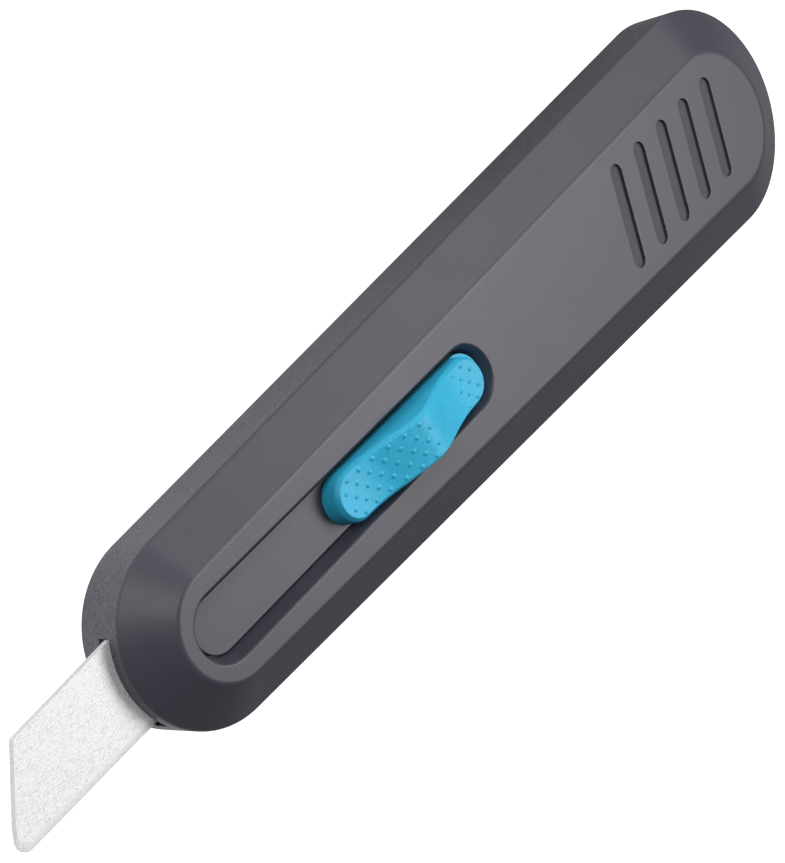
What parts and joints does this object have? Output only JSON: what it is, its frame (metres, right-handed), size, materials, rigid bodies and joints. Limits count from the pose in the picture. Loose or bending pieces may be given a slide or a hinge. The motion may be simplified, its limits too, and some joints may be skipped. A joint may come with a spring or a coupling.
{
  "type": "retractable utility knife",
  "caption": "Slim tapered retractable utility knife with a ribbed cyan thumb slider and a white ceramic blade out of its nose.",
  "frame": {"origin": "under the middle of the whole knife with its blade out, on the flat underside", "axes": "+X out of the nose along the blade, +Y to the cutting-edge side, +Z to the thumb side"},
  "size_m": [0.1772, 0.0356, 0.0212],
  "materials": {
    "housing_plastic": "fine matte moulded texture, dark purplish grey",
    "slider_plastic": "satin moulded cyan",
    "inner_plastic": "plain black nylon",
    "blade_ceramic": "ground white zirconia with fine lengthwise streaks",
    "steel": "plain bright steel"
  },
  "bodies": {
    "housing": {"upper_shell": "housing_plastic", "lower_shell": "housing_plastic", "track_plate": "housing_plastic", "housing_screw_1": "steel", "housing_screw_2": "steel", "housing_screw_3": "steel", "track_screw_1": "steel", "track_screw_2": "steel", "slider_spring_pin": "steel", "carrier_spring_pin": "steel", "latch_spring": "steel", "latch_rivet": "steel", "slider_return_spring": "steel", "carrier_return_spring": "steel"},
    "slider": {"thumb_slider": "slider_plastic", "slider_shoe": "inner_plastic", "slider_screw": "steel", "drive_finger": "steel", "finger_rivet": "steel"},
    "carrier": {"blade": "blade_ceramic", "blade_carrier": "inner_plastic", "blade_clamp": "steel", "clamp_screw": "steel", "blade_peg_1": "steel", "blade_peg_2": "steel"}
  },
  "joints": [
    {"name": "slider_slide", "type": "slide", "parent": "housing", "child": "slider", "axis": [1, 0, 0], "range_m": [0, 0.0255], "stiffness_N_per_m": 120, "springref_m": -0.015, "deforming": ["slider_return_spring", "drive_finger"]},
    {"name": "carrier_slide", "type": "slide", "parent": "housing", "child": "carrier", "axis": [1, 0, 0], "range_m": [-0.025, 0], "deforming": ["carrier_return_spring", "latch_spring"]}
  ]
}
